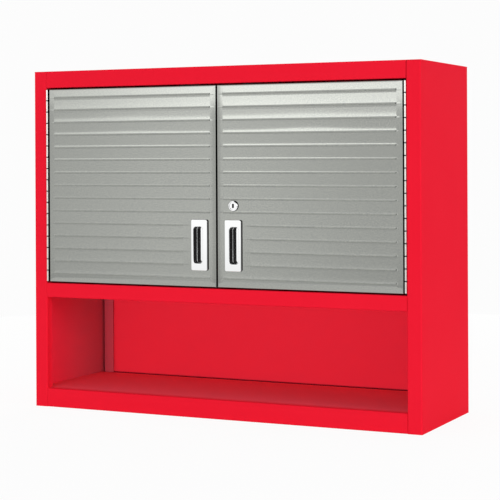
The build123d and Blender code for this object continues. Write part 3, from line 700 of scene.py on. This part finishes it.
def plated_plug():
    """Turned brass plug with a chromed face: a bright mirror in front. In and round the keyway it is
    painted near black as painted shade, so that the slot reads as black."""
    material, tree, place = new_material("chromed_brass_plug")
    to_plug = {"Location": (-lock_middle[0], 0, -lock_middle[2])}
    on_plug = add(tree, "ShaderNodeMapping", to_plug, (place, 0))
    axes = add(tree, "ShaderNodeSeparateXYZ", {}, (on_plug, 0)).outputs
    inwards = {**smooth, 1: keyway_shade_depth[0], 2: keyway_shade_depth[1]}
    sunk = add(tree, "ShaderNodeMapRange", inwards, (axes["Y"], 0))
    beside = add(tree, "ShaderNodeMath", {"operation": "ABSOLUTE"}, (axes["X"], 0))
    along = add(tree, "ShaderNodeMath", {"operation": "ABSOLUTE"}, (axes["Z"], 0))
    side_edge = {**smooth, 1: keyway_mouth_shade[0], 2: keyway_mouth_shade[0] + keyway_mouth_fade, 3: 1.0, 4: 0.0}
    near_x = add(tree, "ShaderNodeMapRange", side_edge, (beside, 0))
    end_edge = {**smooth, 1: keyway_mouth_shade[1], 2: keyway_mouth_shade[1] + keyway_mouth_fade, 3: 1.0, 4: 0.0}
    near_z = add(tree, "ShaderNodeMapRange", end_edge, (along, 0))
    mouth_shade = add(tree, "ShaderNodeMath", {"operation": "MULTIPLY"}, (near_x, 0), (near_z, 1))
    painted_shade = add(tree, "ShaderNodeMath", {"operation": "MAXIMUM"}, (sunk, 0), (mouth_shade, 1))
    shades = {"data_type": "RGBA", 6: linear(chrome_white), 7: linear(keyway_shade_black)}
    colour = add(tree, "ShaderNodeMix", shades, (painted_shade, 0)).outputs[2]
    rough = add(tree, "ShaderNodeMapRange", {3: 0.04, 4: 0.5}, (painted_shade, 0))
    metal = add(
        tree, "ShaderNodeBsdfPrincipled", {"Metallic": 1.0}, (colour, "Base Color"), (rough, "Roughness"),
    )
    add(tree, "ShaderNodeOutputMaterial", {}, (metal, "Surface"))
    return material


bore_in, bore_back = quarter(bore_round, bore_steps)
bezel_edge = np.array([
    (bezel_radius, lock_low[1] + bezel_slope[1]), (bezel_radius - bezel_slope[0], lock_low[1]),
])
bore_edge = np.column_stack([head_seat + bore_back, lock_low[1] + bore_in])
seat_y = lock_low[1] + seat_depth
inside = np.array([(head_seat, seat_y), (plug_bore, seat_y), (plug_bore, lock_high[1])])
behind_bezel = np.array([(barrel_radius, lock_high[1]), (barrel_radius, front), (bezel_radius, front)])
profile = np.concatenate([behind_bezel, bezel_edge, bore_edge, inside])
body = turned(profile, lock_middle, turn_steps)
ring = np.pad(np.arange(body[..., 0].size).reshape(body.shape[:2]), ((0, 1), (0, 1)), "wrap")
lock_body = surface("chrome_lock_body", body, grid_faces(ring))
# Behind the lock's sloped rim the chrome is painted black, as painted shade.
lock_chrome = bright_chrome("bright_chrome_on_lock", lock_low[1] + bezel_foot)
fit_piece("chrome_lock_body", lock_body, lock_chrome, "right_door", "lock_housing")
coat_nodes(plated_plug(), "lock_plug")
coat_nodes(zinc, "lock_nut", "lock_cam", "cam_screw", "lock_keeper")


# Surroundings: a round of white paper under the cabinet in an even white room, lit by six soft lights
# in front, at both sides, behind and above. The room is dark round the camera, which shows mostly
# where metal mirrors metal, as in the handles' pockets.

paper_radius = 2.2
paper_steps = 96
white_share = 0.93
paper_gap = np.radians([-20, 36])
paper_gap_start = 0.6, 0.75
room_gap = np.radians([-17, 35])
gap_fade = math.radians(3)
gap_light = 0.02

# A ray that metal has mirrored once has a glossy depth of 1, and one mirrored twice a depth of 2.
one_mirror = 1.5


def way_round(tree, direction):
    """Bearing of a direction from straight ahead of the doors, to the right."""
    axes = add(tree, "ShaderNodeSeparateXYZ", {}, (direction, 0)).outputs
    ahead = add(tree, "ShaderNodeMath", {"operation": "MULTIPLY", 1: -1.0}, (axes["Y"], 0))
    return add(tree, "ShaderNodeMath", {"operation": "ARCTAN2"}, (axes["X"], 0), (ahead, 1))


def dark_gap(tree, bearing, ends):
    """Share of light left by the dark gap round the camera, from one bearing to another."""
    middle = (ends[0] + ends[1]) / 2
    half = (ends[1] - ends[0]) / 2
    off = add(tree, "ShaderNodeMath", {"operation": "SUBTRACT", 1: middle}, (bearing, 0))
    aside = add(tree, "ShaderNodeMath", {"operation": "ABSOLUTE"}, (off, 0))
    outwards = {**smooth, 1: half, 2: half + gap_fade, 3: gap_light, 4: 1.0}
    return add(tree, "ShaderNodeMapRange", outwards, (aside, 0))


def white_paper():
    """Matt white paper: it keeps the cabinet's shadow, and reads as white to the camera and in metal, but
    for the dark gap round the camera where metal mirrors metal."""
    material, tree, place = new_material("white_paper")
    rays = add(tree, "ShaderNodeLightPath", {}).outputs
    gap = dark_gap(tree, way_round(tree, place), paper_gap)
    away = add(tree, "ShaderNodeVectorMath", {"operation": "LENGTH"}, (place, 0)).outputs["Value"]
    gap_start = {**smooth, 1: paper_gap_start[0], 2: paper_gap_start[1], 3: 1.0, 4: 0.0}
    near = add(tree, "ShaderNodeMapRange", gap_start, (away, 0))
    single = {"operation": "LESS_THAN", 1: one_mirror}
    direct = add(tree, "ShaderNodeMath", single, (rays["Glossy Depth"], 0))
    clear = add(tree, "ShaderNodeMath", {"operation": "MAXIMUM"}, (near, 0), (direct, 1))
    pale = add(tree, "ShaderNodeMath", {"operation": "MAXIMUM"}, (gap, 0), (clear, 1))
    mirrored = add(tree, "ShaderNodeMath", {"operation": "MULTIPLY"}, (rays["Is Glossy Ray"], 0), (pale, 1))
    seen = add(tree, "ShaderNodeMath", {"operation": "MAXIMUM"}, (rays["Is Camera Ray"], 0), (mirrored, 1))
    share = add(tree, "ShaderNodeMath", {"operation": "MULTIPLY", 1: white_share}, (seen, 0))
    matt = add(tree, "ShaderNodeMath", {"operation": "SUBTRACT", 0: 1.0}, (rays["Is Glossy Ray"], 1))
    lit = add(tree, "ShaderNodeMath", {"operation": "ADD"}, (matt, 0), (mirrored, 1))
    tones = {"data_type": "RGBA", 6: linear("#000000"), 7: linear("#f2f2f2")}
    tone = add(tree, "ShaderNodeMix", tones, (lit, 0)).outputs[2]
    paper = add(tree, "ShaderNodeBsdfDiffuse", {}, (tone, "Color"))
    white = add(tree, "ShaderNodeEmission", {"Color": linear("#ffffff"), "Strength": 1.0})
    both = add(tree, "ShaderNodeMixShader", {}, (share, 0), (paper, 1), (white, 2))
    add(tree, "ShaderNodeOutputMaterial", {}, (both, "Surface"))
    material.cycles.emission_sampling = "NONE"
    return material


paper_turn = 2 * np.pi * np.arange(paper_steps) / paper_steps
rim = paper_radius * np.column_stack([np.cos(paper_turn), np.sin(paper_turn), 0 * paper_turn])
paper_mesh = bpy.data.meshes.new("white_paper")
paper_mesh.from_pydata(rim.tolist(), [], [list(range(len(rim)))])
paper_mesh.materials.append(white_paper())
paper = bpy.data.objects.new("white_paper", paper_mesh)
bpy.context.scene.collection.objects.link(paper)

# Heights in the room are sines of the elevation, and its levels are shares of white.
even_level = 0.47
backdrop_level = 0.975
band_rise = 0.0325, 0.0375
band_fall = 0.12, 0.2
band_gain = 1.15
band_end = np.radians([-34, -25])
band_end_share = 0.4
panel_bearing = math.radians(-27.2)
panel_half = math.radians(7.5)
panel_levels = 1.085, 0.885
panel_top = 0.2, 0.35
panel_top_loss = math.radians(5)
skirting = -0.1, -0.04
skirting_level = 0.8
rear_wall = np.radians([104, 116])
rear_wall_level = 0.03
gap_foot = 0.3, 0.45
ceiling_edge = 0.69, 0.77
ceiling_level = 0.05


def white_studio():
    """Even white room. Metal sees more of it: a pale panel left of the doors, a bright low band ahead of
    them that is weaker at its left end, a greyer skirting and a dark ceiling. The dark gap round the
    camera and the dark wall behind the cabinet show high up, and lower only where metal mirrors metal."""
    world = bpy.data.worlds.new("white_studio")
    world.use_nodes = True
    tree = world.node_tree
    tree.nodes.clear()
    rays = add(tree, "ShaderNodeLightPath", {}).outputs
    direction = add(tree, "ShaderNodeTexCoord", {}).outputs["Generated"]
    height = add(tree, "ShaderNodeSeparateXYZ", {}, (direction, 0)).outputs["Z"]
    bearing = way_round(tree, direction)

    off_panel = add(tree, "ShaderNodeMath", {"operation": "SUBTRACT", 1: panel_bearing}, (bearing, 0))
    aside = add(tree, "ShaderNodeMath", {"operation": "ABSOLUTE"}, (off_panel, 0))
    panel_upwards = {**smooth, 1: panel_top[0], 2: panel_top[1], 3: 0.0, 4: panel_top_loss}
    aloft = add(tree, "ShaderNodeMapRange", panel_upwards, (height, 0))
    apart = add(tree, "ShaderNodeMath", {"operation": "MAXIMUM"}, (aside, 0), (aloft, 1))
    panel_outwards = {**smooth, 1: 0.0, 2: panel_half, 3: panel_levels[0], 4: panel_levels[1]}
    panel = add(tree, "ShaderNodeMapRange", panel_outwards, (apart, 0))
    skirting_upwards = {**smooth, 1: skirting[0], 2: skirting[1], 3: skirting_level, 4: 1.0}
    sunk = add(tree, "ShaderNodeMapRange", skirting_upwards, (height, 0))
    base = add(tree, "ShaderNodeMath", {"operation": "MULTIPLY"}, (sunk, 0), (panel, 1))

    rise = add(tree, "ShaderNodeMapRange", {**smooth, 1: band_rise[0], 2: band_rise[1]}, (height, 0))
    band_upwards = {**smooth, 1: band_fall[0], 2: band_fall[1], 3: band_gain, 4: 0.0}
    fall = add(tree, "ShaderNodeMapRange", band_upwards, (height, 0))
    band_along = {**smooth, 1: band_end[0], 2: band_end[1], 3: band_end_share, 4: 1.0}
    edge = add(tree, "ShaderNodeMapRange", band_along, (bearing, 0))
    band = add(tree, "ShaderNodeMath", {"operation": "MULTIPLY"}, (rise, 0), (fall, 1))
    bright = add(tree, "ShaderNodeMath", {"operation": "MULTIPLY_ADD"}, (band, 0), (edge, 1), (base, 2))

    gap = dark_gap(tree, bearing, room_gap)
    round_about = add(tree, "ShaderNodeMath", {"operation": "ABSOLUTE"}, (bearing, 0))
    wall_inwards = {**smooth, 1: rear_wall[0], 2: rear_wall[1], 3: 1.0, 4: rear_wall_level}
    wall = add(tree, "ShaderNodeMapRange", wall_inwards, (round_about, 0))
    walls = add(tree, "ShaderNodeMath", {"operation": "MULTIPLY"}, (gap, 0), (wall, 1))
    single = {"operation": "LESS_THAN", 1: one_mirror}
    direct = add(tree, "ShaderNodeMath", single, (rays["Glossy Depth"], 0))
    gap_upwards = {**smooth, 1: gap_foot[0], 2: gap_foot[1], 3: 1.0, 4: 0.0}
    low = add(tree, "ShaderNodeMapRange", gap_upwards, (height, 0))
    clear = add(tree, "ShaderNodeMath", {"operation": "MULTIPLY"}, (direct, 0), (low, 1))
    open_share = add(tree, "ShaderNodeMath", {"operation": "MAXIMUM"}, (walls, 0), (clear, 1))
    ceiling_inwards = {**smooth, 1: ceiling_edge[0], 2: ceiling_edge[1], 3: 1.0, 4: ceiling_level}
    ceiling = add(tree, "ShaderNodeMapRange", ceiling_inwards, (height, 0))
    left_over = add(tree, "ShaderNodeMath", {"operation": "MULTIPLY"}, (open_share, 0), (ceiling, 1))
    level = add(tree, "ShaderNodeMath", {"operation": "MULTIPLY"}, (bright, 0), (left_over, 1))

    white = linear("#ffffff")
    even = add(tree, "ShaderNodeBackground", {"Color": white, "Strength": even_level})
    mirrored = add(tree, "ShaderNodeBackground", {"Color": white}, (level, "Strength"))
    backdrop = add(tree, "ShaderNodeBackground", {"Color": white, "Strength": backdrop_level})
    room = add(tree, "ShaderNodeMixShader", {}, (rays["Is Glossy Ray"], 0), (even, 1), (mirrored, 2))
    seen = add(tree, "ShaderNodeMixShader", {}, (rays["Is Camera Ray"], 0), (room, 1), (backdrop, 2))
    add(tree, "ShaderNodeOutputWorld", {}, (seen, "Surface"))
    return world


def soft_light(name, watts, size, bearing, elevation, distance):
    """A rectangular soft light that faces the middle of the cabinet, at the height of the handles, from a
    bearing, elevation and distance."""
    lamp = bpy.data.lights.new(name, "AREA")
    lamp.shape = "RECTANGLE"
    lamp.size, lamp.size_y = size
    lamp.energy = watts
    light = bpy.data.objects.new(name, lamp)
    light.matrix_world = (
        Matrix.Translation((0, 0, handle_middle[2]))
        @ Matrix.Rotation(math.radians(bearing), 4, "Z")
        @ Matrix.Rotation(math.radians(90 - elevation), 4, "X")
        @ Matrix.Translation((0, 0, distance))
    )
    light.visible_camera = False
    light.visible_glossy = False
    bpy.context.scene.collection.objects.link(light)


bpy.context.scene.world = white_studio()
soft_light("front_softbox", watts=27.0, size=(2.0, 1.2), bearing=3, elevation=34, distance=6.0)
soft_light("low_softbox", watts=111.0, size=(2.0, 0.7), bearing=3, elevation=-0.5, distance=6.0)
soft_light("side_softbox", watts=86.0, size=(1.8, 1.2), bearing=77, elevation=3, distance=5.0)
soft_light("rear_softbox", watts=80.0, size=(2.0, 1.5), bearing=190, elevation=20, distance=5.0)
soft_light("left_softbox", watts=75.0, size=(1.8, 1.2), bearing=-97, elevation=3, distance=5.0)
soft_light("top_softbox", watts=45.0, size=(2.0, 2.0), bearing=0, elevation=85, distance=5.0)


# Camera: a long lens at the photograph's place, right of the cabinet and level, with the lens
# shifted down so that upright edges stay upright.

lens_length = 111.47
sensor_width = 36.0
lens_shift = -0.1845
camera_place = 1.4832, -3.0806, 0.5549
camera_bearing = math.radians(25.6)
camera_roll = math.radians(-0.267)

view = bpy.data.cameras.new("photo_view")
view.lens = lens_length
view.sensor_width = sensor_width
view.shift_y = lens_shift
camera = bpy.data.objects.new("photo_view", view)
camera.matrix_world = (
    Matrix.Translation(camera_place)
    @ Matrix.Rotation(camera_bearing, 4, "Z")
    @ Matrix.Rotation(math.radians(90), 4, "X")
    @ Matrix.Rotation(camera_roll, 4, "Z")
)
bpy.context.scene.collection.objects.link(camera)
bpy.context.scene.camera = camera
bpy.context.scene.view_settings.view_transform = "Standard"
